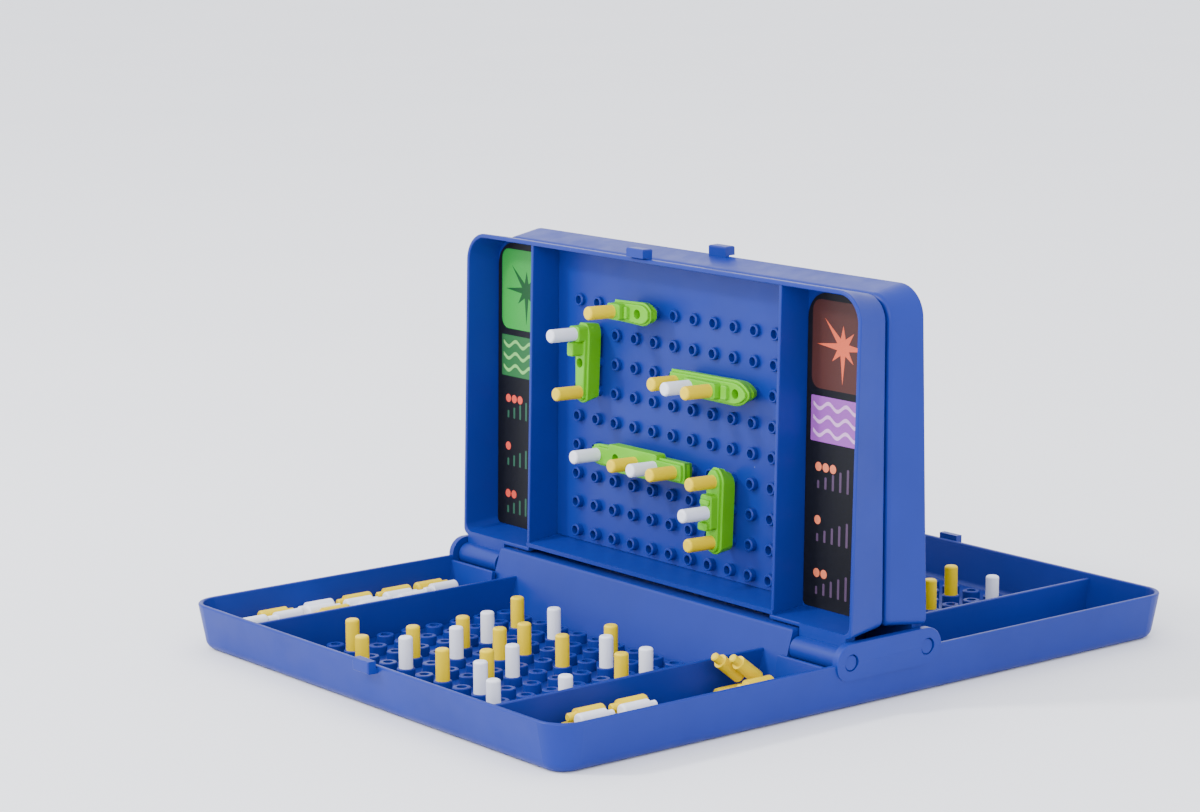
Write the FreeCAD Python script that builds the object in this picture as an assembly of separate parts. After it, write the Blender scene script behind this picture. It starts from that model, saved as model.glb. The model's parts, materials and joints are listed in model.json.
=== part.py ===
import FreeCAD, Part
import math
import os
from collections import namedtuple

# Two-player fleet guessing case: one long base tray, two lids hinged back to back in its middle.
# X runs along the hinges, Y from the front player to the rear player, Z up.
# The origin is the middle of the underside of the tray. All sizes are in millimetres.

# Hole grids, which lie half a pitch apart so that pegs in a lid pass between pegs in its tray
hole_pitch = 11.0
hole_rows = 9
tray_columns = 12
lid_columns = 11
hole_diameter = 3.6

# Pegs
peg_diameter = 5.0
peg_body_length = 11.4
peg_top_rounding = 0.9
peg_shank_diameter = 3.0
peg_shank_length = 3.6
peg_shank_chamfer = 0.4

# Base tray
tray_height = 17.4
wall = 1.8
floor = 1.6
wall_slope = 0.184
corner_radius = 11.0
foot_rounding = 4.0
floor_rounding = 2.4
rim_rounding = 0.6
divider_rounding = 0.5
bay_side_margin = 9.6
compartment_width = 37.3
divider_thickness = 1.6
inner_wall_height = 15.7
front_margin = 20.7
back_margin = 8.3

# Hollow ridge between the two halves, under the lids
ridge_foot = 27.0
ridge_top = 19.8
ridge_height = 24.1
ridge_overhang = 13.6
ridge_rounding = 1.2
well_wall_top = 25.3

# Socket plates on the floor of the two bays
plate_thickness = 0.8
socket_diameter = 6.6
socket_height = 3.4
tube_chamfer = 0.3
plate_gap = 0.3

# Hinges
hinge_offset = 17.9
pin_diameter = 6.0
pin_clearance = 0.05
pin_recess = 0.6
pin_chamfer = 0.5
cheek_radius = 6.6
cheek_thickness = 2.2
cheek_proud = 0.6
cheek_rounding = 0.5
ear_radius = 4.3
ear_side_gap = 0.4
ear_ridge_gap = 0.8

# Lids, whose backs stand upright and whose rims lean back
lid_lean_deg = 1.6
lid_back_gap = 0.6
lid_hinge_end = 7.3
lid_bay_step = 1.8
lid_wall = 1.6
lid_back_free = 0.8
lid_back_hinge = 2.8
lid_slope = 0.14
lid_hinge_corner = 3.0
lid_back_rounding = 1.8
lid_side_margin = 14.1
lid_divider = 1.4
lid_divider_sink = 0.3
lid_rim_rounding = 0.5
lid_divider_rounding = 0.4
lid_row_margin = 9.6

# Hole plates on the floor of the lids
hole_plate_thickness = 0.5
lid_hole_diameter = 3.2
tube_diameter = 4.6
tube_height = 1.3

# Printed cards in the side wells of the lids
card_thickness = 0.5
card_gap = 0.5
card_corner = 1.8

# Latch lugs on the free edges of the tray and lids, side by side when a lid is shut
lug_width = 9.4
lug_offset = 6.6
lug_reach = 3.6
lug_grip = 2.6
lug_overhang = 1.8
lug_clearance = 0.3
lug_step = 0.9
lug_rounding = 0.6

# Ships
hull_height = 6.4
hull_taper = 1.0
deck_height = 7.7
deck_ledge = 0.9
tower_height = 3.0
tower_half_width = 3.0
tower_corner = 1.2
ship_edge_rounding = 0.5
ship_hole_depth = 4.0
stud_diameter = 3.0
stud_length = 1.6

# Pegs lying loose in the side compartments
heap_spacing = 5.4
heap_station = 16.5
heap_lift = 0.05
lean_angle_deg = 38.0

# Places worked out from the sizes above
bay_half_width = (tray_columns - 1) / 2 * hole_pitch + bay_side_margin
case_half_width = bay_half_width + divider_thickness + compartment_width + wall
row_span = (hole_rows - 1) * hole_pitch
case_half_depth = ridge_foot + back_margin + row_span + front_margin
ridge_half_width = bay_half_width + ridge_overhang
socket_top = floor + plate_thickness + socket_height
lid_length = case_half_depth - hinge_offset
lid_bay_half_width = (lid_columns - 1) / 2 * hole_pitch + lid_side_margin
lean = math.radians(lid_lean_deg)
ear_outer = case_half_width - max(cheek_thickness, wall + wall_slope * ear_radius) - ear_side_gap
ear_inner = ridge_half_width + ear_ridge_gap
ear_width = ear_outer - ear_inner
X_AXIS = FreeCAD.Vector(1, 0, 0)
Z_AXIS = FreeCAD.Vector(0, 0, 1)
ORIGIN = FreeCAD.Vector(0, 0, 0)


def vector(x, y, z):
    return FreeCAD.Vector(x, y, z)


def box(x_low, x_high, y_low, y_high, z_low, z_high):
    """A box between two corners."""
    return Part.makeBox(x_high - x_low, y_high - y_low, z_high - z_low, vector(x_low, y_low, z_low))


def cylinder(diameter, length, base, direction=Z_AXIS):
    return Part.makeCylinder(diameter / 2, length, base, direction)


def rounded_outline(x_half, y_low, y_high, low_radius, high_radius, height):
    """A rounded rectangle about the Y axis; height gives the Z of a point from its Y."""
    corners = [
        (-x_half, y_low, 1, 1, low_radius),
        (x_half, y_low, -1, 1, low_radius),
        (x_half, y_high, -1, -1, high_radius),
        (-x_half, y_high, 1, -1, high_radius),
    ]
    near = 1 - math.sqrt(0.5)
    points = []
    for x, y, inward_x, inward_y, radius in corners:
        beside_x = (x, y + inward_y * radius)
        beside_y = (x + inward_x * radius, y)
        middle = (x + inward_x * radius * near, y + inward_y * radius * near)
        ends = [beside_x, beside_y] if inward_x == inward_y else [beside_y, beside_x]
        arc = [ends[0], middle, ends[1]]
        points.append([vector(px, py, height(py)) for px, py in arc])
    edges = []
    for index, arc in enumerate(points):
        edges.append(Part.Arc(arc[0], arc[1], arc[2]).toShape())
        edges.append(Part.LineSegment(arc[2], points[(index + 1) % 4][0]).toShape())
    return Part.Wire(edges)


def loft(*wires):
    return Part.makeLoft(list(wires), True, True)


def prism(points, start, length):
    """A solid along X with its section given as (y, z) points."""
    corners = [vector(start, y, z) for y, z in points]
    return Part.Face(Part.makePolygon(corners + [corners[0]])).extrude(vector(length, 0, 0))


def turned_half_round(shape):
    """The same piece for the rear player, half a turn about Z."""
    copy = shape.copy()
    copy.rotate(ORIGIN, Z_AXIS, 180)
    return copy


def mirrored_x(shape):
    return shape.mirror(ORIGIN, X_AXIS)


def rounded_level(body, z, radius):
    """The same body with the edges that lie at one height rounded."""
    level = [
        edge for edge in body.Edges
        if abs(edge.BoundBox.ZMin - z) < radius / 10 and abs(edge.BoundBox.ZMax - z) < radius / 10]
    return body.makeFillet(radius, level)


def tube(diameter, height, base, end):
    """A round tube's outside along Z, with its open end chamfered; end is 1 up or -1 down."""
    straight = height - tube_chamfer
    low = base.z if end > 0 else base.z + tube_chamfer
    tip = base.z + straight if end > 0 else base.z
    radius = diameter / 2
    slim = radius - tube_chamfer
    bar = cylinder(diameter, straight, vector(base.x, base.y, low))
    radii = (radius, slim) if end > 0 else (slim, radius)
    cone = Part.makeCone(radii[0], radii[1], tube_chamfer, vector(base.x, base.y, tip))
    return bar.fuse(cone)


def save(name, *solids):
    """Writes one sub-part, as one solid or as a group of separate solids."""
    shape = solids[0] if len(solids) == 1 else Part.Compound(list(solids))
    shape.exportStep("parts/" + name + ".step")


# Base tray


def tray_ring(z, grow):
    """The outline of the sloping tray wall at one height, moved outwards by grow."""
    inset = wall_slope * (tray_height - z) - grow
    radius = corner_radius - inset
    return rounded_outline(
        case_half_width - inset, inset - case_half_depth, case_half_depth - inset,
        radius, radius, lambda y: z)


def tray_envelope(grow):
    return loft(tray_ring(0, grow), tray_ring(tray_height, grow))


def foot_rounded(body, radius):
    """The same body with its lowest edges rounded."""
    return rounded_level(body, min(vertex.Z for vertex in body.Vertexes), radius)


def tray_hollow():
    hollow = loft(tray_ring(floor, -wall), tray_ring(tray_height + wall, -wall))
    return foot_rounded(hollow, floor_rounding)


def ridge_section(inset, top, bottom):
    """The trapezoid of the ridge, moved inwards by inset."""
    slope = (ridge_foot - ridge_top) / (ridge_height - floor)
    across = inset * math.hypot(1, slope)
    low = ridge_foot + slope * (floor - bottom) - across
    high = ridge_foot + slope * (floor - top) - across
    return [(-low, bottom), (-high, top), (high, top), (low, bottom)]


def inner_walls():
    """Dividers beside the bays, and the low walls between the compartments and the hinge wells."""
    walls = []
    foot_shift = wall_slope * inner_wall_height
    section = [
        (-well_wall_top - foot_shift, 0),
        (-well_wall_top, inner_wall_height),
        (-well_wall_top + divider_thickness, inner_wall_height),
        (-well_wall_top - foot_shift + divider_thickness, 0),
    ]
    well_wall = prism(section, ridge_half_width - wall, case_half_width - ridge_half_width + wall)
    divider = box(
        bay_half_width, bay_half_width + divider_thickness,
        -case_half_depth, -ridge_top, 0, inner_wall_height)
    well_wall = rounded_level(well_wall, inner_wall_height, divider_rounding)
    divider = rounded_level(divider, inner_wall_height, divider_rounding)
    for front in (well_wall, divider, mirrored_x(well_wall), mirrored_x(divider)):
        walls.append(front)
        walls.append(turned_half_round(front))
    return walls


def cheek():
    """The side wall raised round the two hinge pins."""
    inner = case_half_width - cheek_thickness
    width = cheek_thickness + cheek_proud
    tab = box(
        inner, inner + width, -hinge_offset, hinge_offset,
        tray_height - cheek_radius, tray_height + cheek_radius)
    ends = [
        cylinder(2 * cheek_radius, width, vector(inner, y, tray_height), X_AXIS)
        for y in (-hinge_offset, hinge_offset)]
    tab = tab.multiFuse(ends).removeSplitter()
    face = [edge for edge in tab.Edges if edge.BoundBox.XMin > inner + width / 2]
    tab = tab.makeFillet(cheek_rounding, face)
    above = box(
        inner, inner + width, -case_half_depth, case_half_depth,
        tray_height, tray_height + 2 * cheek_radius)
    return tab.common(above).fuse(tab.common(tray_envelope(cheek_proud))).removeSplitter()


def hinge_bores():
    """Bores for the pins through the four cheeks."""
    bores = []
    for y in (-hinge_offset, hinge_offset):
        bore = cylinder(
            pin_diameter + 2 * pin_clearance, 2 * (cheek_thickness + cheek_proud),
            vector(case_half_width - 2 * cheek_thickness, y, tray_height), X_AXIS)
        bores += [bore, mirrored_x(bore)]
    return bores


def latch_lug(middle, edge, rim, past, root):
    """A lug outside a front wall whose rim is at (edge, rim), which reaches past that rim.

    past is 1 where the lug reaches up past the rim and -1 where it reaches down; root is how far
    its foot goes into its own wall. Beyond the rim it stands clear of the other wall.
    """
    left = middle - lug_width / 2
    right = middle + lug_width / 2
    foot = rim - past * lug_grip
    tall = sorted([foot, rim + past * lug_overhang])
    block = box(left, right, edge - lug_reach, edge - lug_clearance, tall[0], tall[1])
    face = [side for side in block.Edges if side.BoundBox.YMax < edge - lug_reach + lug_rounding]
    block = block.makeFillet(lug_rounding, face)
    short = sorted([foot, rim - past * lug_step])
    joined = box(left, right, edge - lug_reach / 2, edge + root, short[0], short[1])
    return block.fuse(joined).removeSplitter()


def base_tray():
    envelope = foot_rounded(tray_envelope(0), foot_rounding)
    tray = rounded_level(envelope.cut(tray_hollow()), tray_height, rim_rounding)
    ridge = prism(ridge_section(0, ridge_height, 0), -ridge_half_width, 2 * ridge_half_width)
    ridge = rounded_level(ridge, ridge_height, ridge_rounding)
    right_cheek = cheek()
    inside = [piece.common(envelope) for piece in inner_walls()]
    lug = latch_lug(
        lug_offset, -case_half_depth, tray_height, 1, wall_slope * lug_grip + wall / 2)
    tray = tray.multiFuse(inside + [
        ridge, right_cheek, mirrored_x(right_cheek), lug, turned_half_round(lug)])
    hollow = prism(
        ridge_section(wall, ridge_height - wall, -floor),
        wall - ridge_half_width, 2 * (ridge_half_width - wall))
    return tray.cut(Part.Compound([hollow] + hinge_bores())).removeSplitter()


# Socket plates


def tray_socket(column, row):
    """Centre of a socket in the front bay; row 0 is nearest the front player."""
    x = (column - (tray_columns - 1) / 2) * hole_pitch
    y = -(ridge_foot + back_margin) - (hole_rows - 1 - row) * hole_pitch
    return x, y


def places(columns):
    return [(column, row) for column in range(columns) for row in range(hole_rows)]


def socket_plate():
    x_half = bay_half_width - plate_gap
    front_wall = case_half_depth - wall - wall_slope * (tray_height - floor)
    plate = box(
        -x_half, x_half, floor_rounding + plate_gap - front_wall, -ridge_foot - plate_gap,
        floor, floor + plate_thickness)
    tubes = []
    holes = []
    for column, row in places(tray_columns):
        x, y = tray_socket(column, row)
        tubes.append(tube(socket_diameter, socket_top - floor, vector(x, y, floor), 1))
        holes.append(cylinder(hole_diameter, socket_top, vector(x, y, floor / 2)))
    return plate.multiFuse(tubes).cut(Part.Compound(holes))


# Lids, made shut over the front tray with the hinge axis at the origin, then swung open


def opened(shape):
    """Swings a piece of the shut front lid up to where the lid stands open."""
    copy = shape.copy()
    copy.rotate(ORIGIN, X_AXIS, -90 - lid_lean_deg)
    copy.translate(vector(0, -hinge_offset, tray_height))
    return copy


def back_height(y):
    """Height of the lid's outer back above its rim plane."""
    return (hinge_offset - lid_back_gap) / math.cos(lean) + y * math.tan(lean)


def floor_height(y):
    """Height of the lid's inner floor above its rim plane; the back is thicker at the hinge end."""
    along = (y + lid_length) / (lid_length - lid_hinge_end)
    return back_height(y) - lid_back_free - along * (lid_back_hinge - lid_back_free)


def tube_end():
    """Height above the rim plane of the ends of the tubes, which lie level with the rim."""
    return floor_height(-lid_length) - hole_plate_thickness - tube_height


def lid_ring(inset, height):
    return rounded_outline(
        case_half_width - inset, inset - lid_length, -lid_hinge_end - inset,
        corner_radius - inset, lid_hinge_corner, height)


def mean_height(height):
    return height(-(lid_length + lid_hinge_end) / 2)


def floor_inset():
    """How far the inner face of the lid's wall has come in from the rim's edge at the floor."""
    return lid_slope * mean_height(floor_height) + lid_wall


def lid_ear():
    """The lug that carries the lid on its hinge pin."""
    round_end = cylinder(2 * ear_radius, ear_width, vector(ear_inner, 0, 0), X_AXIS)
    arm = box(ear_inner, ear_outer, -lid_hinge_end - lid_wall, 0, 0, ear_radius)
    bore = cylinder(
        pin_diameter + 2 * pin_clearance, ear_width + 2 * wall, vector(ear_inner - wall, 0, 0), X_AXIS)
    return round_end.fuse(arm).removeSplitter().cut(bore)


def lid_dividers(body):
    """The two thin walls between the centre bay and the side wells."""
    ends = (-lid_length, -lid_hinge_end)
    section = [
        (ends[0], lid_divider_sink), (ends[1], lid_divider_sink),
        (ends[1], floor_height(ends[1]) + lid_back_free / 2),
        (ends[0], floor_height(ends[0]) + lid_back_free / 2)]
    right = prism(section, lid_bay_half_width, lid_divider)
    right = rounded_level(right, lid_divider_sink, lid_divider_rounding).common(body)
    return [right, mirrored_x(right)]


def lid_bay_wall():
    """The hinge end wall of the centre bay, stepped back from that of the side wells."""
    top = floor_height(-lid_hinge_end) + lid_back_free / 2
    outer = -lid_hinge_end - lid_bay_step
    inner = outer - lid_wall
    section = [
        (outer, 0), (outer - lid_slope * top, top), (inner - lid_slope * top, top), (inner, 0)]
    return prism(section, -lid_bay_half_width - lid_divider, 2 * (lid_bay_half_width + lid_divider))


def lid_bay_notch():
    """The room under the stepped wall of the centre bay, clear of the ridge."""
    top = mean_height(floor_height)
    outer = -lid_hinge_end - lid_bay_step
    section = [(outer, -lid_wall), (outer, 0), (outer - lid_slope * top, top), (0, top), (0, -lid_wall)]
    return prism(section, -lid_bay_half_width, 2 * lid_bay_half_width)


def lid_shell():
    body = loft(
        lid_ring(0, lambda y: 0), lid_ring(lid_slope * mean_height(back_height), back_height))
    back_edges = [
        edge for edge in body.Edges
        if all(abs(end.Point.z - back_height(end.Point.y)) < lid_wall / 10 for end in edge.Vertexes)]
    body = body.makeFillet(lid_back_rounding, back_edges)
    hollow = loft(lid_ring(lid_wall, lambda y: 0), lid_ring(floor_inset(), floor_height))
    ear = lid_ear()
    lug = latch_lug(-lug_offset, -lid_length, 0, -1, lid_slope * lug_grip + lid_wall / 2)
    additions = lid_dividers(body) + [lid_bay_wall(), ear, mirrored_x(ear), lug]
    shell = rounded_level(body.cut(hollow), 0, lid_rim_rounding)
    return shell.multiFuse(additions).cut(lid_bay_notch()).removeSplitter()


def lid_hole(column, row):
    """Centre of a hole in the shut front lid; row 0 is at the lid's free edge."""
    x = (column - (lid_columns - 1) / 2) * hole_pitch
    y = -lid_hinge_end - lid_row_margin - (hole_rows - 1 - row) * hole_pitch
    return x, y


def hole_plate():
    """The field of short tubes on the floor of the lid's centre bay."""
    inset = floor_inset() + plate_gap
    low_y = inset - lid_length
    high_y = -lid_hinge_end - lid_bay_step - inset
    x_half = lid_bay_half_width - plate_gap
    section = [
        (low_y, floor_height(low_y)), (high_y, floor_height(high_y)),
        (high_y, floor_height(high_y) - hole_plate_thickness),
        (low_y, floor_height(low_y) - hole_plate_thickness)]
    plate = prism(section, -x_half, 2 * x_half)
    tubes = []
    holes = []
    for column, row in places(lid_columns):
        x, y = lid_hole(column, row)
        depth = floor_height(y) - hole_plate_thickness / 2 - tube_end()
        tubes.append(tube(tube_diameter, depth, vector(x, y, tube_end()), -1))
        holes.append(cylinder(lid_hole_diameter, 2 * lid_length, vector(x, y, -lid_length)))
    return plate.multiFuse(tubes).cut(Part.Compound(holes))


def card():
    """A printed card lying on the floor of the right-hand side well of the lid."""
    inset = floor_inset() + card_gap
    low_x = lid_bay_half_width + lid_divider + card_gap
    high_x = case_half_width - inset

    def ring(lift):
        return rounded_outline(
            (high_x - low_x) / 2, inset - lid_length, -lid_hinge_end - inset,
            corner_radius - lid_wall, card_corner, lambda y: floor_height(y) - lift)
    sheet = loft(ring(card_thickness), ring(0))
    sheet.translate(vector((low_x + high_x) / 2, 0, 0))
    return sheet


def hinge_pin():
    length = case_half_width + cheek_proud - pin_recess - ear_inner
    pin = cylinder(pin_diameter, length, vector(ear_inner, 0, 0), X_AXIS)
    ends = [edge for edge in pin.Edges if edge.BoundBox.XLength < pin_chamfer]
    return pin.makeChamfer(pin_chamfer, ends)


# Pegs


def peg():
    """A stepped peg standing on Z, with its shoulder at the origin."""
    radius = peg_diameter / 2
    shank = peg_shank_diameter / 2
    top = peg_body_length
    tip = -peg_shank_length
    near = peg_top_rounding * (1 - math.sqrt(0.5))
    edges = [
        Part.LineSegment(vector(0, 0, tip), vector(shank - peg_shank_chamfer, 0, tip)),
        Part.LineSegment(
            vector(shank - peg_shank_chamfer, 0, tip), vector(shank, 0, tip + peg_shank_chamfer)),
        Part.LineSegment(vector(shank, 0, tip + peg_shank_chamfer), vector(shank, 0, 0)),
        Part.LineSegment(vector(shank, 0, 0), vector(radius, 0, 0)),
        Part.LineSegment(vector(radius, 0, 0), vector(radius, 0, top - peg_top_rounding)),
        Part.Arc(
            vector(radius, 0, top - peg_top_rounding), vector(radius - near, 0, top - near),
            vector(radius - peg_top_rounding, 0, top)),
        Part.LineSegment(vector(radius - peg_top_rounding, 0, top), vector(0, 0, top)),
        Part.LineSegment(vector(0, 0, top), vector(0, 0, tip)),
    ]
    face = Part.Face(Part.Wire([edge.toShape() for edge in edges]))
    return face.revolve(ORIGIN, Z_AXIS, 360)


def standing_pegs(sockets):
    """Pegs in sockets of the front bay, at (column, row) places."""
    pegs = []
    for column, row in sockets:
        x, y = tray_socket(column, row)
        one = peg()
        one.translate(vector(x, y, socket_top))
        pegs.append(one)
    return pegs


def lying_peg(x, y, height, turn):
    """A loose peg on its side with its axis at a height; turn is its heading from the Y axis."""
    one = peg()
    one.translate(vector(0, 0, (peg_shank_length - peg_body_length) / 2))
    one.rotate(ORIGIN, X_AXIS, 90)
    one.rotate(ORIGIN, Z_AXIS, turn)
    one.translate(vector(x, y, height))
    return one


def leaning_peg(x, y, turn):
    """A loose peg with its head on the lowest layer of a heap and its shank raised."""
    one = peg()
    one.translate(vector(0, 0, -peg_body_length))
    one.rotate(ORIGIN, X_AXIS, 90 + lean_angle_deg)
    one.rotate(ORIGIN, Z_AXIS, turn)
    lift = peg_diameter / 2 * math.cos(math.radians(lean_angle_deg)) + heap_lift
    one.translate(vector(x, y, floor + heap_spacing + lift))
    return one


def layer_height(layer):
    """Height of the axes of the pegs in one layer of a heap."""
    return floor + peg_diameter / 2 + heap_lift + layer * heap_spacing * math.sqrt(0.75)


def station_y(station):
    """Place along a front compartment, counted from the socket row next to the ridge."""
    return -ridge_foot - back_margin - station * heap_station


def place_x(place):
    """Place across the front right compartment, counted from beside the divider."""
    return bay_half_width + divider_thickness + peg_diameter + place * heap_spacing


def heap(stations, yellow_share, leaning=()):
    """Loose pegs in the front right compartment, returned as white pegs and yellow pegs.

    A station is (station, pegs in the lower layer, pegs in the upper layer, first place), and a
    leaning peg is (station, place, heading). One peg in yellow_share of those lying down is yellow.
    """
    white = []
    yellow = []
    for station, lower, upper, first in stations:
        for layer, count in ((0, lower), (1, upper)):
            for place in range(count):
                x = place_x(first + place + layer / 2)
                heading = 180 if (place + layer) % 2 else 0
                count_on = place + 2 * layer + int(2 * station)
                group = white if count_on % yellow_share else yellow
                group.append(lying_peg(x, station_y(station), layer_height(layer), heading))
    for station, place, heading in leaning:
        yellow.append(leaning_peg(place_x(place), station_y(station), heading))
    return white, yellow


# Ships, made with the base at Z = 0, the stern hole at the origin and the bow along X


def bow_arc(shoulder, side, tip, tip_half):
    """Middle of the arc that leaves the side of a hull smoothly and meets the tip of its bow."""
    length = tip - shoulder
    drop = side - tip_half
    radius = (length ** 2 + drop ** 2) / (2 * drop)
    half_angle = math.atan2(length, radius - drop) / 2
    return shoulder + radius * math.sin(half_angle), side - radius * (1 - math.cos(half_angle))


def hull_outline(plan, inset, height, raked):
    """Plan of a hull at one height, moved inwards by inset; a raked one is drawn back at both ends."""
    last = (plan.holes - 1) * hole_pitch
    side = plan.half_width - inset
    stern_side = plan.stern_half_width - inset
    stern = inset - plan.stern + (plan.stern_rake if raked else 0)
    rake = plan.bow_rake if raked else 0
    shoulder = last + plan.shoulder - rake
    tip = last + plan.bow - rake - inset
    tip_side = plan.tip_half_width * side / plan.half_width
    middle = bow_arc(shoulder, side, tip, tip_side)
    port = [(stern + plan.stern_rounding, stern_side), (shoulder, side), middle, (tip, tip_side)]
    left = [vector(x, y, height) for x, y in port]
    right = [vector(x, -y, height) for x, y in port]
    edges = [
        Part.Arc(right[0], vector(stern, 0, height), left[0]),
        Part.LineSegment(left[0], left[1]),
        Part.Arc(left[1], left[2], left[3]),
        Part.LineSegment(left[3], right[3]),
        Part.Arc(right[3], right[2], right[1]),
        Part.LineSegment(right[1], right[0]),
    ]
    return Part.Wire([edge.toShape() for edge in edges])


def deckhouse(low, high, half_width, top):
    """A rounded block on a ship, from low to high along the row of holes, counted in holes."""
    bottom = hull_height / 2
    block = box(low * hole_pitch, high * hole_pitch, -half_width, half_width, bottom, top)
    upright = [edge for edge in block.Edges if edge.BoundBox.ZLength > (top - bottom) / 2]
    corner = min(tower_corner, half_width / 2, (high - low) * hole_pitch / 4)
    return rounded_level(block.makeFillet(corner, upright), top, ship_edge_rounding)


def ship(plan):
    hull = loft(hull_outline(plan, hull_taper, 0, True), hull_outline(plan, 0, hull_height, False))
    hull = rounded_level(hull, hull_height, ship_edge_rounding)
    deck = loft(
        hull_outline(plan, deck_ledge, hull_height / 2, False),
        hull_outline(plan, deck_ledge, deck_height, False))
    pieces = [rounded_level(deck, deck_height, ship_edge_rounding)]
    for low, high in plan.towers:
        pieces.append(deckhouse(low, high, tower_half_width, deck_height + tower_height))
    for low, high, half_width, top in plan.blocks:
        pieces.append(deckhouse(low, high, half_width, top))
    for place in (0, plan.holes - 1):
        pieces.append(cylinder(
            stud_diameter, stud_length + hull_height / 4, vector(place * hole_pitch, 0, -stud_length)))
    body = hull.multiFuse(pieces).removeSplitter()
    bores = []
    for place in range(plan.holes):
        seat = peg_seat(place, plan.towers)
        bores.append(cylinder(
            hole_diameter, ship_hole_depth + tower_height,
            vector(place * hole_pitch, 0, seat - ship_hole_depth)))
    return body.cut(Part.Compound(bores))


def peg_seat(place, towers):
    """Height above the base of the deck or deckhouse that a peg stands on."""
    raised = any(low <= place <= high for low, high in towers)
    return deck_height + tower_height if raised else deck_height


def on_lid(shape, column, row, bow):
    """Puts a ship, or a peg of it, on the open front lid with its stern hole at a place."""
    heading = {"right": 0, "down": 90, "left": 180, "up": -90}[bow]
    x, y = lid_hole(column, row)
    copy = shape.copy()
    copy.rotate(ORIGIN, X_AXIS, 180)
    copy.rotate(ORIGIN, Z_AXIS, heading)
    copy.translate(vector(x, y, tube_end()))
    return opened(copy)


def ship_pegs(pegged, towers):
    pegs = []
    for place in pegged:
        one = peg()
        one.translate(vector(place * hole_pitch, 0, peg_seat(place, towers)))
        pegs.append(one)
    return pegs


# Plan of a ship: overhangs past its end holes, half widths and rakes in millimetres, then its tall
# deckhouses as (low, high) and its lesser ones as (low, high, half width, top), with places
# along the ship counted in holes from the stern
ShipPlan = namedtuple("ShipPlan", [
    "holes", "stern", "stern_half_width", "stern_rounding", "stern_rake", "half_width", "shoulder",
    "bow", "tip_half_width", "bow_rake", "towers", "blocks"])
FLEET = {
    "boat": ShipPlan(
        2, 4.2, 3.9, 0.5, 1.0, 4.4, 1.4, 6.8, 1.6, 4.6, [(-0.27, 0.4)], [(0.45, 0.6, 2.2, 9.2)]),
    "submarine": ShipPlan(
        3, 4.2, 3.2, 1.2, 0.4, 3.9, -1.0, 4.0, 1.8, -0.4, [(1.73, 2.27)], [(1.26, 1.73, 1.8, 12.5)]),
    "cruiser": ShipPlan(
        3, 4.6, 3.9, 2.4, 0.0, 4.4, -0.4, 5.2, 1.2, 1.6, [(0.44, 1.6)],
        [(0.44, 0.7, 2.4, 12.3), (1.27, 1.45, 2.4, 11.6)]),
    "frigate": ShipPlan(
        4, 4.2, 4.4, 0.5, 1.0, 4.7, -2.0, 6.0, 1.0, 2.0, [(0.7, 2.3)],
        [(0.42, 0.58, 2.2, 9.2), (2.42, 2.7, 2.6, 9.2)]),
    "carrier": ShipPlan(
        5, 5.2, 3.9, 0.4, 2.4, 4.1, -1.0, 3.8, 3.2, 1.6, [], [(0.86, 3.4, 5.0, deck_height)]),
}

# Where each ship's stern hole is on the front lid (column, row, bow) and its white and yellow pegs
FRONT_FLEET = {
    "boat": (3, 0, "right", [], [0]),
    "submarine": (1, 3, "up", [2], [0]),
    "cruiser": (8, 7, "up", [1], [0, 2]),
    "frigate": (6, 2, "right", [1], [0, 2]),
    "carrier": (6, 5, "left", [1, 4], [0, 2]),
}

# Where each ship's stern hole is on the rear lid
REAR_FLEET = {
    "boat": (8, 0, "right"),
    "submarine": (1, 6, "up"),
    "cruiser": (4, 3, "right"),
    "frigate": (5, 6, "right"),
    "carrier": (2, 1, "right"),
}

# Sockets with pegs, as (column, row)
FRONT_YELLOW = [
    (1, 1), (3, 0), (3, 2), (6, 1), (3, 4), (2, 7), (5, 4), (5, 5), (7, 2), (7, 5), (7, 7), (10, 5)]
FRONT_WHITE = [
    (4, 1), (4, 3), (3, 5), (8, 1), (7, 3), (10, 0), (4, 7), (11, 2), (8, 6), (10, 6)]
REAR_YELLOW = [(2, 3), (3, 1)]
REAR_WHITE = [(1, 1)]

# Loose pegs in the left and right compartments of the front tray
LEFT_STATIONS = [
    (0.3, 3, 2, 3), (1.4, 4, 3, 2), (2.5, 4, 3, 2), (3.55, 4, 3, 2), (4.6, 3, 2, 3), (5.55, 2, 1, 3)]
LEFT_YELLOW_SHARE = 3
RIGHT_STATIONS = [(0.35, 4, 0, 0), (0.35, 0, 2, 1.6), (3.3, 3, 2, 0), (4.4, 3, 2, 0)]
RIGHT_LEANING = [(0.16, 0, 180), (-0.05, 1, 180)]
RIGHT_YELLOW_SHARE = 2


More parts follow.
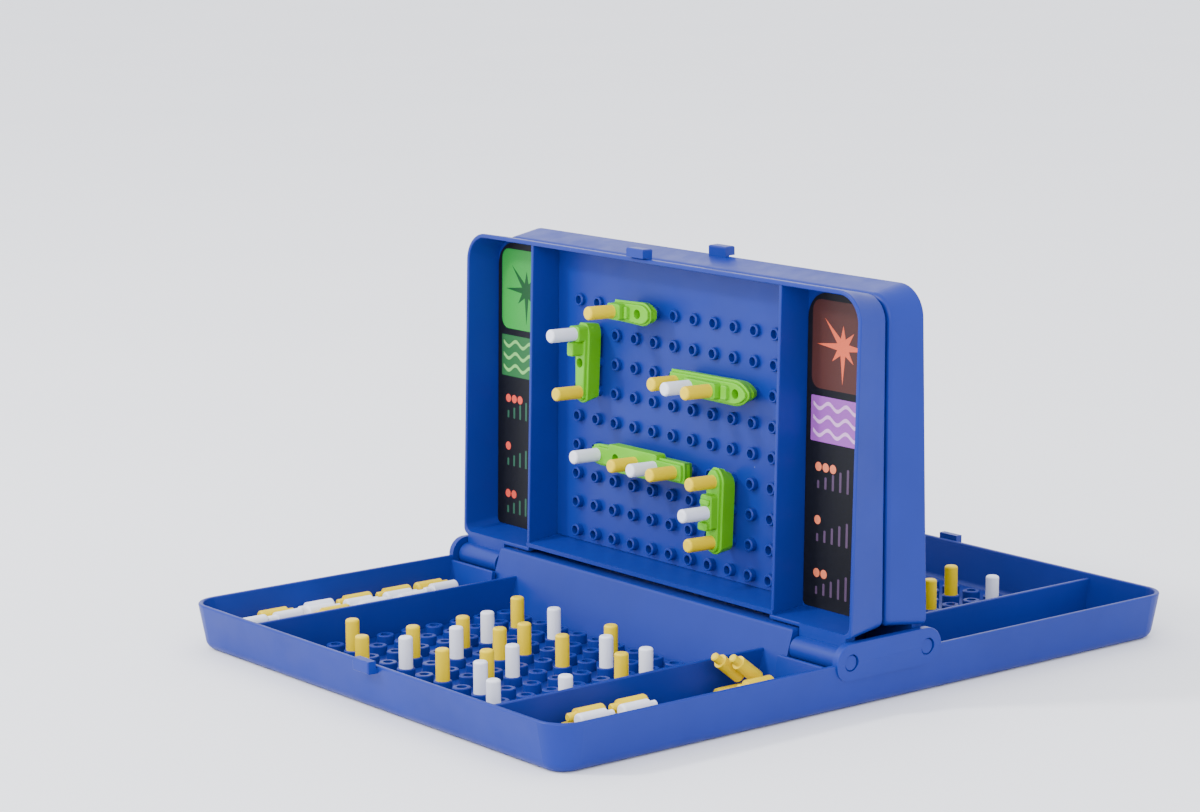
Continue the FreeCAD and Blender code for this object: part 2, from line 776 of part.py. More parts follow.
def main():
    os.makedirs("parts", exist_ok=True)
    save("base_tray", base_tray())

    sockets = socket_plate()
    shell = opened(lid_shell())
    tubes = opened(hole_plate())
    right_card = opened(card())
    pin = hinge_pin()
    pin.translate(vector(0, -hinge_offset, tray_height))
    for player, place in (("front", lambda shape: shape), ("rear", turned_half_round)):
        save(player + "_socket_plate", place(sockets))
        save(player + "_lid", place(shell))
        save(player + "_hole_plate", place(tubes))
        save(player + "_right_card", place(right_card))
        save(player + "_left_card", place(mirrored_x(right_card)))
        save(player + "_right_hinge_pin", place(pin))
        save(player + "_left_hinge_pin", place(mirrored_x(pin)))

    for name, plan in FLEET.items():
        model = ship(plan)
        column, row, bow, white, yellow = FRONT_FLEET[name]
        save("front_" + name, on_lid(model, column, row, bow))
        for colour, pegged in (("white", white), ("yellow", yellow)):
            if pegged:
                pegs = [on_lid(one, column, row, bow) for one in ship_pegs(pegged, plan.towers)]
                save("front_" + name + "_" + colour + "_pegs", *pegs)
        column, row, bow = REAR_FLEET[name]
        save("rear_" + name, turned_half_round(on_lid(model, column, row, bow)))

    save("front_yellow_pegs", *standing_pegs(FRONT_YELLOW))
    save("front_white_pegs", *standing_pegs(FRONT_WHITE))
    save("rear_yellow_pegs", *[turned_half_round(one) for one in standing_pegs(REAR_YELLOW)])
    save("rear_white_pegs", *[turned_half_round(one) for one in standing_pegs(REAR_WHITE)])

    right_white, right_yellow = heap(RIGHT_STATIONS, RIGHT_YELLOW_SHARE, RIGHT_LEANING)
    left_white, left_yellow = heap(LEFT_STATIONS, LEFT_YELLOW_SHARE)
    save("front_right_loose_white_pegs", *right_white)
    save("front_right_loose_yellow_pegs", *right_yellow)
    save("front_left_loose_white_pegs", *[mirrored_x(one) for one in left_white])
    save("front_left_loose_yellow_pegs", *[mirrored_x(one) for one in left_yellow])


main()
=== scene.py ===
import json
import math

import bmesh
import bpy
from bpy.props import FloatProperty, FloatVectorProperty, PointerProperty
from mathutils import Matrix, Vector


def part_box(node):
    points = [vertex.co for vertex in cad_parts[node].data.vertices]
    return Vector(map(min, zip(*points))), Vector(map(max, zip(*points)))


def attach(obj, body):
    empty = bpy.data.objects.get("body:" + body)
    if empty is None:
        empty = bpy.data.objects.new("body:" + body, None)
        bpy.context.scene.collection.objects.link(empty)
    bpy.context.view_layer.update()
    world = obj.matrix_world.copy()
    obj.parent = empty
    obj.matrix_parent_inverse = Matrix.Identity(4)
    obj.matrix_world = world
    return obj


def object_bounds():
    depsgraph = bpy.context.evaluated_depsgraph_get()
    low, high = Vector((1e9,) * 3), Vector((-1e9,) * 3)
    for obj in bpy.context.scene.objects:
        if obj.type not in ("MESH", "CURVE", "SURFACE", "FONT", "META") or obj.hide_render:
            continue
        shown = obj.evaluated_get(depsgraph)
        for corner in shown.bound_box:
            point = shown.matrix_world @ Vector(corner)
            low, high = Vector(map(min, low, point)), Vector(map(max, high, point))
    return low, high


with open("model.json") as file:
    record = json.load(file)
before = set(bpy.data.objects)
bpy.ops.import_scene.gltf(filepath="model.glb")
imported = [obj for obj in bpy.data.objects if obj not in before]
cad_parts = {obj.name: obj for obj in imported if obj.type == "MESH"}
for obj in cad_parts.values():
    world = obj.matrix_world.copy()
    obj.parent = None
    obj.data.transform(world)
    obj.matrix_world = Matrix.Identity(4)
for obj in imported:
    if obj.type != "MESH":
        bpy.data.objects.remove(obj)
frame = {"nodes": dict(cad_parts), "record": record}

bl_info = {
    "name": "Fleet guessing case",
    "version": (1, 0, 0),
    "blender": (4, 5, 0),
    "location": "3D View > Sidebar > Fleet case",
    "description": "Gives the packed fleet guessing case its plastics, printed cards and a plain studio",
    "category": "Object",
}

CAD_BOX = [list(corner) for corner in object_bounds()]
MILLIMETRE = 0.001
PLAYERS = ("front", "rear")
SIDES = ("left", "right")


# Colours and settings

def linear(hex_colour):
    """An sRGB hex value as linear red, green and blue with full alpha."""
    channels = [int(hex_colour[at:at + 2], 16) / 255 for at in (1, 3, 5)]
    bright = [((c + 0.055) / 1.055) ** 2.4 if c > 0.04045 else c / 12.92 for c in channels]
    return (*bright, 1.0)


def colour(label, description, hex_colour):
    """A colour that a user may change."""
    return FloatVectorProperty(
        name=label, description=description, subtype="COLOR", size=4, min=0, max=1,
        default=linear(hex_colour))


def length(label, description, millimetres):
    """A length that a user may change."""
    return FloatProperty(
        name=label, description=description, unit="LENGTH", subtype="DISTANCE", min=0,
        precision=5, default=millimetres * MILLIMETRE)


def angle(label, description, degrees):
    """An angle that a user may change."""
    return FloatProperty(
        name=label, description=description, subtype="ANGLE", default=math.radians(degrees))


def number(label, description, value):
    """A plain number that a user may change."""
    return FloatProperty(name=label, description=description, min=0, default=value)


def point(label, description, metres):
    """A place in the shared frame that a user may change."""
    return FloatVectorProperty(
        name=label, description=description, subtype="TRANSLATION", unit="LENGTH", default=metres)


class PlasticSettings(bpy.types.PropertyGroup):
    """Colours and surface sizes of the mouldings"""
    blue: colour("Blue", "Colour of the tray and lids", "#172D8A")
    blue_deep: colour("Deep blue", "Blue in the darker clouds of the melt", "#132575")
    lime: colour("Lime", "Colour of the ships", "#66BA10")
    lime_deep: colour("Deep lime", "Lime in the darker clouds of the melt", "#52A60C")
    yellow: colour("Yellow", "Colour of the yellow pegs", "#E8CA00")
    yellow_deep: colour("Deep yellow", "Yellow in the darker clouds of the melt", "#DDBC00")
    white: colour("White", "Colour of the white pegs", "#E8EAF3")
    white_deep: colour("Deep white", "White in the darker clouds of the melt", "#D8DBE9")
    dust: colour("Dust", "Colour of dust and rubbed specks", "#B9C6E6")
    cloud: length("Cloud", "Spacing of the slow change of colour in the melt", 38)
    flow: length("Flow", "Spacing of the flow marks that change the gloss", 9)
    # Grain and specks are drawn coarser than real ones, which are too fine to show
    grain: length("Grain", "Spacing of the fine moulded grain", 0.7)
    grain_depth: length("Grain depth", "Depth of the fine moulded grain", 0.012)
    speck_spacing: length("Speck spacing", "Spacing of the cells that may hold a speck", 9)
    speck_size: length("Speck size", "Radius of a dust speck", 0.22)


class CardSettings(bpy.types.PropertyGroup):
    """Sizes and colours of the printed cards"""
    board: colour("Board", "Colour of the printed ground", "#0B0C10")
    board_light: colour("Light board", "Ground where the board's fibres show", "#15161C")
    fibre: length("Fibre", "Spacing of the board's fibres", 1.6)
    fibre_depth: length("Fibre depth", "Depth of the board's fibres", 0.02)
    left_panel: colour("Left panel", "Chart panel of the left cards", "#2F9A3C")
    left_motif: colour("Left star", "Star on the left cards' panel", "#0E4A20")
    left_band: colour("Left band", "Sea band of the left cards", "#2C6B3A")
    left_wave: colour("Left waves", "Waves of the left cards", "#7CC66A")
    left_line: colour("Left lines", "Frames and bars of the left cards", "#2E5B45")
    left_dot: colour("Left dots", "Dots of the left cards", "#E2513F")
    right_panel: colour("Right panel", "Chart panel of the right cards", "#4A2823")
    right_motif: colour("Right star", "Star on the right cards' panel", "#D9603F")
    right_band: colour("Right band", "Sea band of the right cards", "#9A4FB0")
    right_wave: colour("Right waves", "Waves of the right cards", "#D9A6DE")
    right_line: colour("Right lines", "Frames and bars of the right cards", "#54405A")
    right_dot: colour("Right dots", "Dots of the right cards", "#E87A55")
    ink_height: length("Ink height", "Step from one layer of ink to the next", 0.04)
    # The screen is drawn coarser than a real one, which is too fine to show
    screen: length("Print screen", "Spacing of the print's screen dots", 0.5)
    margin: length("Margin", "Free edge round the print", 2.4)
    gap: length("Gap", "Space between the print's fields", 2.6)
    corner: length("Corner", "Corner radius of the chart panel", 4.0)
    line: length("Line", "Width of the printed lines", 0.5)
    panel_height: length("Panel height", "Height of the chart panel", 31)
    band_height: length("Band height", "Height of the sea band", 16)
    star_reach: length("Star reach", "Reach of the star's long points", 13)
    ring: length("Ring", "Diameter of the ring round the star's middle", 15)
    wave_length: length("Wave length", "From one wave's crest to the next", 9)
    wave_height: length("Wave height", "Rise of a wave above its trough", 2.2)
    wave_width: length("Wave width", "Width of a wave's stroke", 1.3)
    dot: length("Dot", "Diameter of the printed dots", 3.2)
    bar: length("Bar", "Width of the printed bars", 1.1)


class StageSettings(bpy.types.PropertyGroup):
    """Floor, lights and camera"""
    floor_colour: colour("Floor", "Colour of the floor", "#F2F2F4")
    floor_shade: colour("Floor shade", "Floor where its tone is lower", "#EDEEF1")
    floor_size: length("Floor size", "Side of the floor", 16000)
    floor_cloud: length("Floor cloud", "Spacing of the floor's slow change of tone", 240)
    key_power: number("Key light", "Power of the key light in watts", 38)
    key_size: length("Key size", "Side of the key light", 260)
    key_place: point("Key place", "Where the key light hangs", (-0.90, -1.60, 1.40))
    fill_power: number("Fill light", "Power of the fill light in watts", 20)
    fill_size: length("Fill size", "Side of the fill light", 1100)
    fill_place: point("Fill place", "Where the fill light hangs", (1.1, -1.5, 0.9))
    sky: number("Sky", "Strength of the even light from all round", 2.25)
    sky_colour: colour("Sky colour", "Tint of the even light from all round", "#F6F8FF")
    sensor: number("Sensor", "Width of the camera's sensor in millimetres", 36)
    lens: number("Lens", "Focal length in millimetres", 97.38)
    azimuth: angle("Azimuth", "Turn of the camera round the object", 52.71)
    elevation: angle("Elevation", "Camera's look down", 10.19)
    roll: angle("Roll", "Camera's tilt about its own axis", -0.52)
    turn: angle("Turn", "Camera's turn to the right that keeps the whole object in view", 1.32)
    place: point("Place", "Where the camera stands", (0.8914, -0.7500, 0.2982))


# Pieces

def slot_nodes(slot):
    """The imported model's nodes that wear one material slot."""
    return [frame["nodes"][part["node"]] for part in frame["record"]["subparts"]
            if part["material_slot"] == slot]


def dress(objects, material):
    """Give every slot of the objects one material."""
    for piece in objects:
        for slot in piece.material_slots:
            slot.material = material


def new_piece(name, shape, materials, body):
    """A finished piece from a bmesh, at the origin, on a body and with its materials."""
    mesh = bpy.data.meshes.new(name)
    shape.to_mesh(mesh)
    shape.free()
    for material in materials:
        mesh.materials.append(material)
    piece = bpy.data.objects.new(name, mesh)
    bpy.context.scene.collection.objects.link(piece)
    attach(piece, body)


# Materials

# Sockets of a node that mixes two colours
MIX_FACTOR = 0
MIX_FIRST = 6
MIX_SECOND = 7
MIX_RESULT = 2

# How the surfaces bend and throw back light
POLYSTYRENE_IOR = 1.59
POLYETHYLENE_IOR = 1.51
VARNISH_IOR = 1.5
SATIN_SPECULAR = 0.16
INK_SPECULAR = 0.2

# Roughness, from the smoothest to the roughest place where it varies
BLUE_ROUGHNESS = (0.34, 0.46)
LIME_ROUGHNESS = (0.36, 0.5)
PEG_ROUGHNESS = (0.34, 0.48)
BOARD_ROUGHNESS = (0.34, 0.5)
INK_ROUGHNESS = 0.4
PAPER_ROUGHNESS = 0.8

# Finer layers within each noise, and the part of its range that flow marks use
CLOUD_DETAIL = 3.0
FLOW_DETAIL = 4.0
GRAIN_DETAIL = 2.0
FIBRE_DETAIL = 4.0
PAPER_DETAIL = 2.0
FLOW_LOW = 0.3
FLOW_HIGH = 0.7

# Strength of the reliefs
GRAIN_STRENGTH = 0.35
FIBRE_STRENGTH = 0.2

# Strength of the dust, and the share of its cells that hold no speck
DUSTY = 0.5
CLEAN = 0.0
BARE_CELLS = 0.6

# How far screen dots stray, where their edge lies in a cell, and the ink's cover within and there
SCREEN_JITTER = 0.2
SCREEN_EDGE = 0.8
FULL_COVER = 1.0
EDGE_COVER = 0.72


def add_node(tree, kind, values=None, links=None, **settings):
    """Add a node with its settings, socket values and links."""
    node = tree.nodes.new(kind)
    for name, value in settings.items():
        setattr(node, name, value)
    for name, value in (values or {}).items():
        node.inputs[name].default_value = value
    for name, source in (links or {}).items():
        tree.links.new(source, node.inputs[name])
    return node


def empty_material(name):
    """A material without nodes, and its tree."""
    material = bpy.data.materials.new(name)
    material.use_nodes = True
    material.node_tree.nodes.clear()
    return material, material.node_tree


def finish_material(tree, values, links):
    """The shader at the end of a material."""
    shader = add_node(tree, "ShaderNodeBsdfPrincipled", values, links)
    add_node(tree, "ShaderNodeOutputMaterial", links={"Surface": shader.outputs["BSDF"]})


def moulded_plastic(name, sizes, light, deep, ior, roughness, dusty):
    """Moulded plastic: slow clouds of colour, flow marks in the gloss, fine grain and dust."""
    material, tree = empty_material(name)
    place = add_node(tree, "ShaderNodeTexCoord").outputs["Object"]
    cloud = add_node(tree, "ShaderNodeTexNoise",
                     {"Scale": 1 / sizes.cloud, "Detail": CLOUD_DETAIL}, {"Vector": place})
    melt = add_node(tree, "ShaderNodeMix", {MIX_FIRST: deep, MIX_SECOND: light},
                    {MIX_FACTOR: cloud.outputs["Fac"]}, data_type="RGBA")
    cell = add_node(tree, "ShaderNodeTexVoronoi", {"Scale": 1 / sizes.speck_spacing},
                    {"Vector": place})
    reach = sizes.speck_size / sizes.speck_spacing
    speck = add_node(tree, "ShaderNodeMapRange",
                     {"From Min": reach, "From Max": reach / 2, "To Max": dusty},
                     {"Value": cell.outputs["Distance"]})
    chance = add_node(tree, "ShaderNodeSeparateColor", links={"Color": cell.outputs["Color"]})
    few = add_node(tree, "ShaderNodeMath", {1: BARE_CELLS}, {0: chance.outputs["Red"]},
                   operation="GREATER_THAN")
    dust = add_node(tree, "ShaderNodeMath", links={0: speck.outputs["Result"], 1: few.outputs[0]},
                    operation="MULTIPLY")
    skin = add_node(tree, "ShaderNodeMix", {MIX_SECOND: sizes.dust},
                    {MIX_FACTOR: dust.outputs[0], MIX_FIRST: melt.outputs[MIX_RESULT]},
                    data_type="RGBA")
    flow = add_node(tree, "ShaderNodeTexNoise", {"Scale": 1 / sizes.flow, "Detail": FLOW_DETAIL},
                    {"Vector": place})
    smooth, rough = roughness
    gloss = add_node(tree, "ShaderNodeMapRange",
                     {"From Min": FLOW_LOW, "From Max": FLOW_HIGH, "To Min": smooth, "To Max": rough},
                     {"Value": flow.outputs["Fac"]})
    grain = add_node(tree, "ShaderNodeTexNoise",
                     {"Scale": 1 / sizes.grain, "Detail": GRAIN_DETAIL}, {"Vector": place})
    relief = add_node(tree, "ShaderNodeBump",
                      {"Strength": GRAIN_STRENGTH, "Distance": sizes.grain_depth},
                      {"Height": grain.outputs["Fac"]})
    finish_material(tree, {"IOR": ior, "Specular IOR Level": SATIN_SPECULAR},
                    {"Base Color": skin.outputs[MIX_RESULT], "Roughness": gloss.outputs["Result"],
                     "Normal": relief.outputs["Normal"]})
    return material


def blue_polystyrene(sizes):
    """Injection-moulded polystyrene: a deep even blue with a satin skin that takes soft highlights."""
    return moulded_plastic("moulded_blue_polystyrene", sizes, sizes.blue, sizes.blue_deep,
                           POLYSTYRENE_IOR, BLUE_ROUGHNESS, DUSTY)


def lime_polystyrene(sizes):
    """Injection-moulded polystyrene: a bright lime, a little waxy, with softer highlights."""
    return moulded_plastic("moulded_lime_polystyrene", sizes, sizes.lime, sizes.lime_deep,
                           POLYSTYRENE_IOR, LIME_ROUGHNESS, CLEAN)


def yellow_polyethylene(sizes):
    """Moulded polyethylene: a warm yellow, waxier than the case, with broad highlights."""
    return moulded_plastic("moulded_yellow_polyethylene", sizes, sizes.yellow, sizes.yellow_deep,
                           POLYETHYLENE_IOR, PEG_ROUGHNESS, CLEAN)


def white_polyethylene(sizes):
    """Moulded polyethylene: a cool milky white with broad highlights."""
    return moulded_plastic("moulded_white_polyethylene", sizes, sizes.white, sizes.white_deep,
                           POLYETHYLENE_IOR, PEG_ROUGHNESS, CLEAN)


def coated_board(sizes):
    """Coated paperboard: a near-black printed ground, faintly uneven, with a dull varnish."""
    material, tree = empty_material("coated_paperboard")
    place = add_node(tree, "ShaderNodeTexCoord").outputs["Object"]
    fibre = add_node(tree, "ShaderNodeTexNoise",
                     {"Scale": 1 / sizes.fibre, "Detail": FIBRE_DETAIL}, {"Vector": place})
    smooth, rough = BOARD_ROUGHNESS
    gloss = add_node(tree, "ShaderNodeMapRange", {"To Min": smooth, "To Max": rough},
                     {"Value": fibre.outputs["Fac"]})
    ground = add_node(tree, "ShaderNodeMix",
                      {MIX_FIRST: sizes.board, MIX_SECOND: sizes.board_light},
                      {MIX_FACTOR: fibre.outputs["Fac"]}, data_type="RGBA")
    relief = add_node(tree, "ShaderNodeBump",
                      {"Strength": FIBRE_STRENGTH, "Distance": sizes.fibre_depth},
                      {"Height": fibre.outputs["Fac"]})
    finish_material(tree, {"IOR": VARNISH_IOR, "Specular IOR Level": SATIN_SPECULAR},
                    {"Base Color": ground.outputs[MIX_RESULT],
                     "Roughness": gloss.outputs["Result"], "Normal": relief.outputs["Normal"]})
    return material


def printed_ink(name, tint, sizes):
    """Offset ink under varnish: the tint is broken up by the print's screen of fine dots."""
    material, tree = empty_material(name)
    place = add_node(tree, "ShaderNodeTexCoord").outputs["Object"]
    screen = add_node(tree, "ShaderNodeTexVoronoi",
                      {"Scale": 1 / sizes.screen, "Randomness": SCREEN_JITTER}, {"Vector": place})
    cover = add_node(tree, "ShaderNodeMapRange",
                     {"From Max": SCREEN_EDGE, "To Min": FULL_COVER, "To Max": EDGE_COVER},
                     {"Value": screen.outputs["Distance"]})
    printed = add_node(tree, "ShaderNodeMix", {MIX_FIRST: sizes.board, MIX_SECOND: tint},
                       {MIX_FACTOR: cover.outputs["Result"]}, data_type="RGBA")
    finish_material(tree, {"IOR": VARNISH_IOR, "Roughness": INK_ROUGHNESS,
                           "Specular IOR Level": INK_SPECULAR},
                    {"Base Color": printed.outputs[MIX_RESULT]})
    return material


def paper_floor(stage):
    """Matt backdrop paper: pale, with a barely uneven tone."""
    material, tree = empty_material("backdrop_paper")
    place = add_node(tree, "ShaderNodeTexCoord").outputs["Object"]
    cloud = add_node(tree, "ShaderNodeTexNoise",
                     {"Scale": 1 / stage.floor_cloud, "Detail": PAPER_DETAIL}, {"Vector": place})
    tone = add_node(tree, "ShaderNodeMix",
                    {MIX_FIRST: stage.floor_colour, MIX_SECOND: stage.floor_shade},
                    {MIX_FACTOR: cloud.outputs["Fac"]}, data_type="RGBA")
    finish_material(tree, {"Roughness": PAPER_ROUGHNESS}, {"Base Color": tone.outputs[MIX_RESULT]})
    return material


# Printed cards

# Inks of a card, in the order of their materials
INK_NAMES = ("panel", "motif", "band", "wave", "line", "dot")
PANEL, MOTIF, BAND, WAVE, LINE, DOT = range(len(INK_NAMES))

# Steps in a round corner, a dot, a star and a wave
CORNER_STEPS = 5
DOT_STEPS = 20
STAR_STEPS = 16
WAVE_STEPS = 40

# Half the side of a unit square, the profile of a round corner, and how far a printed face looks out
UNIT_HALF = 0.5
ROUND_PROFILE = 0.5
LOOKS_OUT = 0.5

# Reach of the star's notches and short points as shares of its long points
STAR_NOTCH = 0.24
STAR_SHORT = 0.58

# Ring stroke and frame corner in line widths, wave rows in the height of the band
RING_LINES = 1.6
FRAME_CORNER_LINES = 2
WAVE_ROWS = 3.4

# Dots in each of the three gauges, bars in each, and a bar's corner as a share of its width
GAUGE_DOTS = (3, 1, 2)
GAUGE_BARS = 7
BAR_CORNER = 1 / 3

# First dot and dot spacing in dot diameters, and the row's level as a share of the gauge's height
DOT_START = 0.6
DOT_SPACING = 1.15
DOT_LEVEL = 0.62


def card_place(node, player):
    """A card's printed face: its middle, across, up and out as a matrix, and its two sizes."""
    facing = Vector((0, -1, 0)) if player == "front" else Vector((0, 1, 0))
    low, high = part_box(node)
    mesh = frame["nodes"][node].data
    face = max((one for one in mesh.polygons if one.normal.dot(facing) > LOOKS_OUT),
               key=lambda one: one.area)
    out = face.normal.normalized()
    across = Vector((-facing.y, 0, 0))
    up = out.cross(across)
    middle = (low + high) / 2
    middle += out * (face.center - middle).dot(out)
    place = Matrix((across, up, out)).transposed().to_4x4()
    place.translation = middle
    return place, high.x - low.x, (high.z - low.z) / up.z


def inked(shape, before, ink):
    """Give the faces made since then one ink, and return them."""
    fresh = [face for face in shape.faces if face not in before]
    for face in fresh:
        face.material_index = ink
    return fresh


def plate(shape, ink, layer, centre, size, corner):
    """A printed rectangle with rounded corners."""
    before = set(shape.faces)
    made = bmesh.ops.create_grid(shape, x_segments=1, y_segments=1, size=UNIT_HALF)["verts"]
    bmesh.ops.scale(shape, vec=(*size, 1), verts=made)
    bmesh.ops.translate(shape, vec=(*centre, layer), verts=made)
    bmesh.ops.bevel(shape, geom=made, offset=corner, affect="VERTICES",
                    segments=CORNER_STEPS, profile=ROUND_PROFILE, material=-1)
    return inked(shape, before, ink)


def outline(shape, ink, layer, centre, size, corner, line):
    """A printed frame with rounded corners."""
    inside = plate(shape, ink, layer, centre, size, corner)
    bmesh.ops.inset_region(shape, faces=inside, thickness=line, use_even_offset=True)
    bmesh.ops.delete(shape, geom=inside, context="FACES")


def dot(shape, ink, layer, centre, diameter):
    """A printed dot."""
    before = set(shape.faces)
    made = bmesh.ops.create_circle(shape, cap_ends=True, segments=DOT_STEPS, radius=diameter / 2)
    bmesh.ops.translate(shape, vec=(*centre, layer), verts=made["verts"])
    return inked(shape, before, ink)


def ring(shape, ink, layer, centre, diameter, line):
    """A printed ring."""
    inside = dot(shape, ink, layer, centre, diameter)
    bmesh.ops.inset_region(shape, faces=inside, thickness=line, use_even_offset=True)
    bmesh.ops.delete(shape, geom=inside, context="FACES")


def star(shape, ink, layer, centre, reach):
    """A printed compass star: four long points, four short ones and the notches between."""
    before = set(shape.faces)
    made = bmesh.ops.create_circle(shape, cap_ends=True, segments=STAR_STEPS, radius=reach)["verts"]
    bmesh.ops.scale(shape, vec=(STAR_NOTCH, STAR_NOTCH, 1), verts=made[1::2])
    bmesh.ops.scale(shape, vec=(STAR_SHORT, STAR_SHORT, 1), verts=made[2::4])
    bmesh.ops.translate(shape, vec=(*centre, layer), verts=made)
    inked(shape, before, ink)


def wave(shape, ink, layer, centre, span, cards):
    """A printed wave across the sea band."""
    before = set(shape.faces)
    made = bmesh.ops.create_grid(
        shape, x_segments=WAVE_STEPS, y_segments=1, size=UNIT_HALF)["verts"]
    bmesh.ops.scale(shape, vec=(span, cards.wave_width, 1), verts=made)
    for vert in made:
        swing = math.sin(2 * math.pi * vert.co.x / cards.wave_length)
        vert.co.y += swing * cards.wave_height / 2
    bmesh.ops.translate(shape, vec=(*centre, layer), verts=made)
    inked(shape, before, ink)


def gauge(shape, cards, centre, size, dots):
    """A printed gauge: a frame with rising bars and a level row of dots."""
    step = cards.ink_height
    outline(shape, LINE, step, centre, size, cards.line * FRAME_CORNER_LINES, cards.line)
    left = centre[0] - size[0] / 2 + cards.margin
    floor = centre[1] - size[1] / 2 + cards.margin
    room = size[0] - 2 * cards.margin
    for place in range(GAUGE_BARS):
        tall = (size[1] - 2 * cards.margin) * (place + 2) / (GAUGE_BARS + 1)
        middle = left + room * (place + 0.5) / GAUGE_BARS
        plate(shape, LINE, step, (middle, floor + tall / 2), (cards.bar, tall),
              cards.bar * BAR_CORNER)
    level = floor + size[1] * DOT_LEVEL - cards.margin
    for place in range(dots):
        spot = (left + cards.dot * (DOT_START + DOT_SPACING * place), level)
        dot(shape, DOT, step * 2, spot, cards.dot)


def card_print(cards, wide, tall):
    """The generic print of a card: chart panel with a star, sea band and three gauges."""
    shape = bmesh.new()
    step = cards.ink_height
    span = wide - 2 * cards.margin
    top = tall / 2 - cards.margin
    middle = top - cards.panel_height / 2
    plate(shape, PANEL, step, (0, middle), (span, cards.panel_height), cards.corner)
    star(shape, MOTIF, step * 2, (0, middle), cards.star_reach)
    ring(shape, MOTIF, step * 2, (0, middle), cards.ring, cards.line * RING_LINES)
    top -= cards.panel_height + cards.gap
    plate(shape, BAND, step, (0, top - cards.band_height / 2), (span, cards.band_height), cards.line)
    for place in (-1, 0, 1):
        line = top - cards.band_height / 2 + place * cards.band_height / WAVE_ROWS
        wave(shape, WAVE, step * 2, (0, line), span - cards.margin, cards)
    top -= cards.band_height + cards.gap
    share = (top + tall / 2 - cards.margin + cards.gap) / len(GAUGE_DOTS)
    for place, dots in enumerate(GAUGE_DOTS):
        height = share - cards.gap
        gauge(shape, cards, (0, top - share * place - height / 2), (span, height), dots)
    bmesh.ops.solidify(shape, geom=shape.faces[:], thickness=step)
    bmesh.ops.recalc_face_normals(shape, faces=shape.faces[:])
    return shape


# Stage

def lay_floor(stage):
    """The pale floor that the case stands on."""
    shape = bmesh.new()
    bmesh.ops.create_grid(shape, x_segments=1, y_segments=1, size=stage.floor_size / 2)
    bmesh.ops.translate(shape, vec=(0, 0, CAD_BOX[0][2]), verts=shape.verts)
    mesh = bpy.data.meshes.new("floor")
    shape.to_mesh(mesh)
    shape.free()
    mesh.materials.append(paper_floor(stage))
    floor = bpy.data.objects.new("floor", mesh)
    bpy.context.scene.collection.objects.link(floor)


def area_light(name, power, side, place, aim):
    """A square soft light that looks at a point."""
    light = bpy.data.lights.new(name, "AREA")
    light.energy = power
    light.size = side
    lamp = bpy.data.objects.new(name, light)
    lamp.location = place
    lamp.rotation_euler = (Vector(aim) - Vector(place)).to_track_quat("-Z", "Y").to_euler()
    bpy.context.scene.collection.objects.link(lamp)


def set_lights(stage):
    """A key light from the upper left front, a broad fill from the right front and an even sky."""
    aim = (0, 0, CAD_BOX[1][2] / 2)
    area_light("key_light", stage.key_power, stage.key_size, stage.key_place, aim)
    area_light("fill_light", stage.fill_power, stage.fill_size, stage.fill_place, aim)
    world = bpy.data.worlds.new("studio")
    world.use_nodes = True
    sky = world.node_tree.nodes["Background"]
    sky.inputs["Color"].default_value = stage.sky_colour
    sky.inputs["Strength"].default_value = stage.sky
    bpy.context.scene.world = world


def set_camera(stage):
    """The photograph's view, turned a little so that the whole case is in the frame."""
    flat = math.cos(stage.elevation)
    ahead = Vector((-math.sin(stage.azimuth) * flat, math.cos(stage.azimuth) * flat,
                    -math.sin(stage.elevation)))
    level = Vector((math.cos(stage.azimuth), math.sin(stage.azimuth), 0))
    above = level.cross(ahead)
    right = level * math.cos(stage.roll) + above * math.sin(stage.roll)
    up = above * math.cos(stage.roll) - level * math.sin(stage.roll)
    aim = ahead * math.cos(stage.turn) + right * math.sin(stage.turn)
    right = right * math.cos(stage.turn) - ahead * math.sin(stage.turn)
    lens = bpy.data.cameras.new("camera")
    lens.sensor_fit = "HORIZONTAL"
    lens.sensor_width = stage.sensor
    lens.lens = stage.lens
    camera = bpy.data.objects.new("camera", lens)
    place = Matrix((right, up, -aim)).transposed().to_4x4()
    place.translation = stage.place
    camera.matrix_world = place
    bpy.context.scene.collection.objects.link(camera)
    bpy.context.scene.camera = camera


# Operators

class FLEETCASE_OT_mouldings(bpy.types.Operator):
    """Give the tray, lids, plates and pins their blue plastic"""
    bl_idname = "fleetcase.mouldings"
    bl_label = "Blue mouldings"

    def execute(self, context):
        dress(slot_nodes("blue_plastic"), blue_polystyrene(context.scene.fleetcase_plastics))
        return {"FINISHED"}


class FLEETCASE_OT_ships(bpy.types.Operator):
    """Give the ships their lime plastic"""
    bl_idname = "fleetcase.ships"
    bl_label = "Ships"

    def execute(self, context):
        dress(slot_nodes("lime_plastic"), lime_polystyrene(context.scene.fleetcase_plastics))
        return {"FINISHED"}


class FLEETCASE_OT_pegs(bpy.types.Operator):
    """Give the pegs their yellow and white plastic"""
    bl_idname = "fleetcase.pegs"
    bl_label = "Pegs"

    def execute(self, context):
        plastics = context.scene.fleetcase_plastics
        dress(slot_nodes("yellow_plastic"), yellow_polyethylene(plastics))
        dress(slot_nodes("white_plastic"), white_polyethylene(plastics))
        return {"FINISHED"}


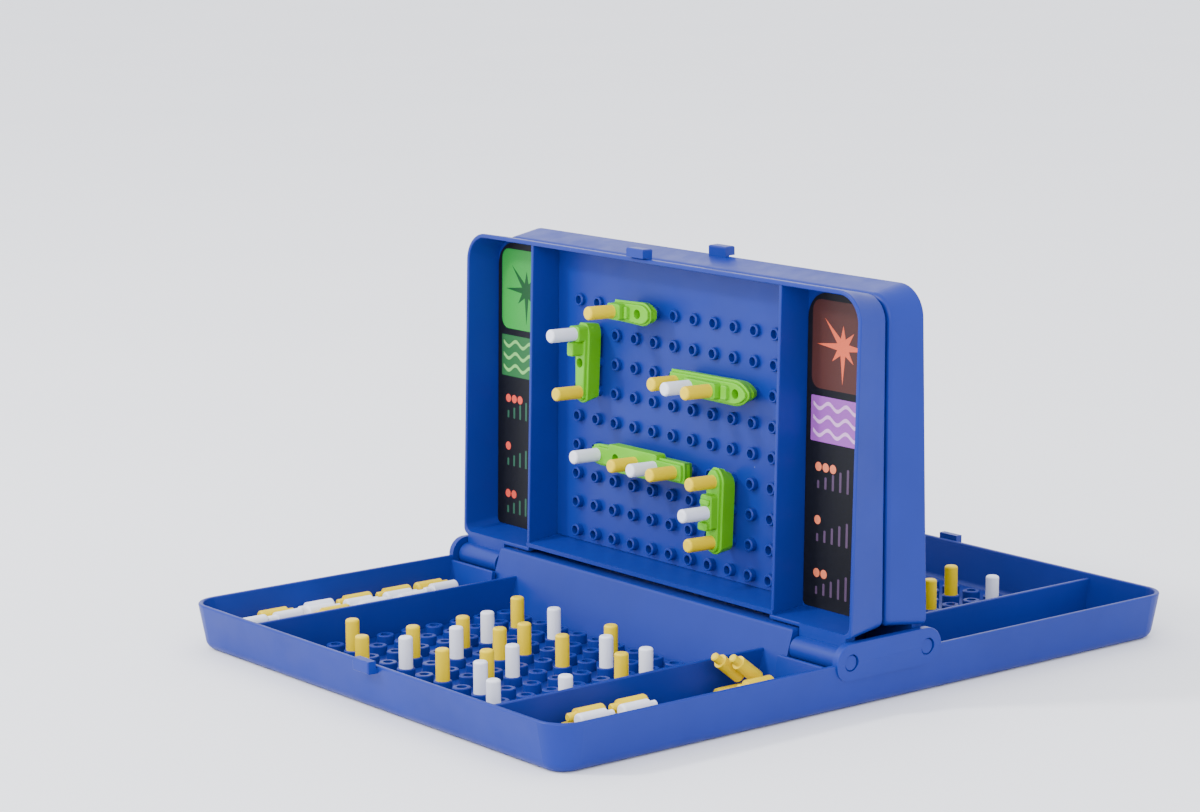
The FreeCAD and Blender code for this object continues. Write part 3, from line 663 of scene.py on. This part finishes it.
class FLEETCASE_OT_cards(bpy.types.Operator):
    """Give the cards their board and lay the print on them"""
    bl_idname = "fleetcase.cards"
    bl_label = "Printed cards"

    def execute(self, context):
        cards = context.scene.fleetcase_cards
        dress(slot_nodes("card"), coated_board(cards))
        for side in SIDES:
            inks = [printed_ink(f"{side}_{name}_ink", getattr(cards, f"{side}_{name}"), cards)
                    for name in INK_NAMES]
            for player in PLAYERS:
                place, wide, tall = card_place(f"{player}_{side}_card", player)
                shape = card_print(cards, wide, tall)
                bmesh.ops.transform(shape, matrix=place, verts=shape.verts)
                new_piece(f"{player}_{side}_card_print", shape, inks, f"{player}_lid_unit")
        return {"FINISHED"}


class FLEETCASE_OT_stage(bpy.types.Operator):
    """Lay the floor and set the lights and the camera"""
    bl_idname = "fleetcase.stage"
    bl_label = "Stage"

    def execute(self, context):
        stage = context.scene.fleetcase_stage
        lay_floor(stage)
        set_lights(stage)
        set_camera(stage)
        return {"FINISHED"}


# Add-on

OPERATORS = (
    FLEETCASE_OT_mouldings,
    FLEETCASE_OT_ships,
    FLEETCASE_OT_pegs,
    FLEETCASE_OT_cards,
    FLEETCASE_OT_stage,
)


class FLEETCASE_PT_pieces(bpy.types.Panel):
    """Lists the steps that dress the case"""
    bl_idname = "FLEETCASE_PT_pieces"
    bl_label = "Fleet case"
    bl_space_type = "VIEW_3D"
    bl_region_type = "UI"
    bl_category = "Fleet case"

    def draw(self, context):
        for step in OPERATORS:
            self.layout.operator(step.bl_idname)


CLASSES = (PlasticSettings, CardSettings, StageSettings, *OPERATORS, FLEETCASE_PT_pieces)


def register():
    """Register the classes and the scene's settings."""
    for one in CLASSES:
        bpy.utils.register_class(one)
    bpy.types.Scene.fleetcase_plastics = PointerProperty(type=PlasticSettings)
    bpy.types.Scene.fleetcase_cards = PointerProperty(type=CardSettings)
    bpy.types.Scene.fleetcase_stage = PointerProperty(type=StageSettings)


def unregister():
    """Remove the scene's settings and the classes."""
    del bpy.types.Scene.fleetcase_stage
    del bpy.types.Scene.fleetcase_cards
    del bpy.types.Scene.fleetcase_plastics
    for one in reversed(CLASSES):
        bpy.utils.unregister_class(one)


def main():
    """Dress the case."""
    register()
    bpy.ops.fleetcase.mouldings()
    bpy.ops.fleetcase.ships()
    bpy.ops.fleetcase.pegs()
    bpy.ops.fleetcase.cards()
    bpy.ops.fleetcase.stage()


if __name__ == "__main__":
    main()
